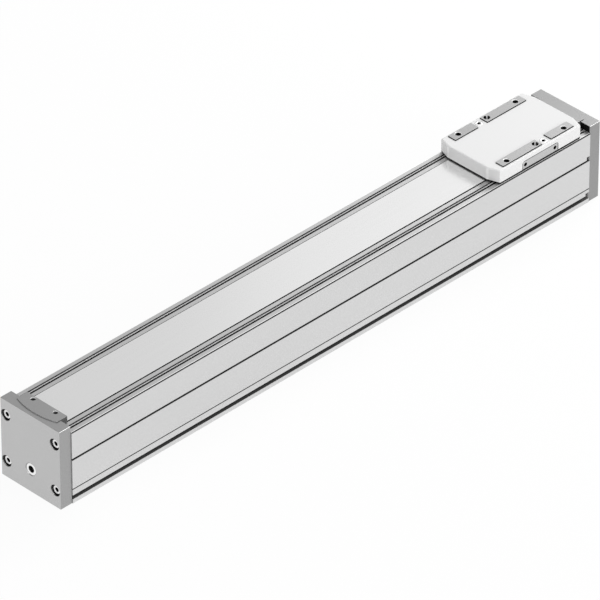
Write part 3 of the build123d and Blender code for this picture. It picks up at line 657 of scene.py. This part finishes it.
def threaded_hole(spot):
    """Whether an edge is the upper rim of a threaded hole in a pad."""
    gap = math.hypot(abs(spot.x - slide_x) - pad_hole_x, abs(spot.y) - pad_hole_y)
    return gap < 2.7 * mm and spot.z > pad_top - 0.1 * mm


broken_edges(
    "slide_body", anodised_slide, wider=threaded_hole, wide=0.4 * mm
)

# Slide cover: one white moulding with a fine satin surface. It sits over the slide body
# and leaves the pads and the bosses bare. Painted shade darkens its bottom edge, and a
# painted highlight runs down each fold between its nose and its facets.
cover_bottom = 61.3 * mm
cover_top = 71.4 * mm
nose_flat_half = 19.3 * mm
white, white_plastic = start("white_plastic")
spark = grain(white, 2200, 3.0)
_, across, above = place(white)
# Painted shade along the bottom edge.
painted_foot_shade = 1 - above.rises(cover_bottom + 0.05 * mm, cover_bottom + 0.2 * mm)
# Painted highlight down each fold beside the nose.
painted_fold_highlight = near_to(abs(across), nose_flat_half, 1.1 * mm, 0.3 * mm)
painted_fold_highlight *= 1 - above.rises(cover_top - 1.1 * mm, cover_top - 0.4 * mm)
close(
    white,
    level=(spark * 0.02 + 0.75) * (1 - painted_foot_shade * 0.97) + painted_fold_highlight * 0.15,
    roughness=spark * 0.08 + 0.42,
    relief=spark,
    relief_height=0.005 * mm,
)
broken_edges("slide_cover", white_plastic)

# Cover screws: two countersunk socket screws, zinc plated. They stand crosswise between
# the pads, a hair below the cover's top.
# Painted shade: the sockets and a ring round each head, where it meets its countersink.
cover_screw = [
    (0, -7.9, 1, ""), (1.2, -7.9, 1, ""), (1.5, -7.6, 1, ""), (1.5, -1.45, 1, ""),
    (2.9, -0.06, 1, ""), (2.7, 0, 0, ""), (1.4, 0, 0, ""), (1.3, -0.05, 1, ""),
    (1.0, -0.2, 1, "hexagon"), (1.0, -1.2, 1, "hexagon"), (0, -1.4, 1, ""),
]
cover_screw_x, cover_screw_sink = 8.375 * mm, 0.1 * mm
heads = [
    Matrix.Translation(
        (slide_x + turn * cover_screw_x, -turn * pad_hole_y, cover_top - cover_screw_sink)
    )
    for turn in (-1, 1)
]
spin(
    "cover_screws_turned", "cover_screws", cover_screw, heads, bright_screw
)

# Floor and light: a white studio floor, a hair below the axis, under a plain pale sky.
# Soft lamps light the top, the right flank and the near end, and weak ones beyond the far
# end and along the edges give the band and the rims bright reflections, to which the
# rims' painted highlights add.
floor_mesh = bpy.data.meshes.new("floor")
plane = bmesh.new()
bmesh.ops.create_grid(plane, x_segments=1, y_segments=1, size=8)
plane.to_mesh(floor_mesh)
plane.free()
floor = bpy.data.objects.new("floor", floor_mesh)
floor.location.z = -0.1 * mm
bpy.context.scene.collection.objects.link(floor)
paper, floor_paint = start("floor_paint")
seen = paper.node("LightPath", output="Is Camera Ray")
mirrored = paper.node("LightPath", output="Is Glossy Ray")
through = paper.node("LightPath", output="Is Transmission Ray")
lit = paper.node("BsdfDiffuse", {"Color": grey(0.9)})
glow = paper.node("Emission", {"Color": grey(1.0), "Strength": 1.0})
share = (seen + mirrored + through) * 0.92
surface = paper.node("MixShader", {0: share, 1: lit, 2: glow})
paper.node("OutputMaterial", {"Surface": surface})
floor_mesh.materials.append(floor_paint)

world = bpy.data.worlds.new("studio")
bpy.context.scene.world = world
world.use_nodes = True
world.node_tree.nodes.clear()
sky = Wire(world.node_tree)
air = sky.node("Background", {"Color": grey(1.0), "Strength": 0.55})
sky.node("OutputWorld", {"Surface": air})


def lamp(name, direction, distance, size, power):
    """A soft square lamp that shines at the middle of the axis."""
    light = bpy.data.lights.new(name, "AREA")
    light.size = size
    light.energy = power
    holder = bpy.data.objects.new(name, light)
    away = Vector(direction).normalized()
    holder.location = away * distance
    holder.rotation_euler = away.to_track_quat("Z", "Y").to_euler()
    bpy.context.scene.collection.objects.link(holder)


lamp("key", (0.72, 0.15, 0.68), 1.5, 0.6, 8)
lamp("side", (0.15, -0.9, 0.4), 2.5, 1.2, 20)
lamp("rim", (0.577, -0.577, 0.577), 2.5, 0.8, 3)
lamp("front", (-0.9, -0.2, 0.4), 2.5, 1.2, 9.6)
lamp("over", (-0.41, -0.41, 0.82), 2.5, 0.7, 3)
lamp("panel", (0.6, 0.55, 0.58), 1.6, 1.0, 0.3)
lamp("far_panel", (0.95, 0.6, 0.65), 1.3, 0.6, 0.2)

bpy.context.scene.view_settings.view_transform = "Standard"
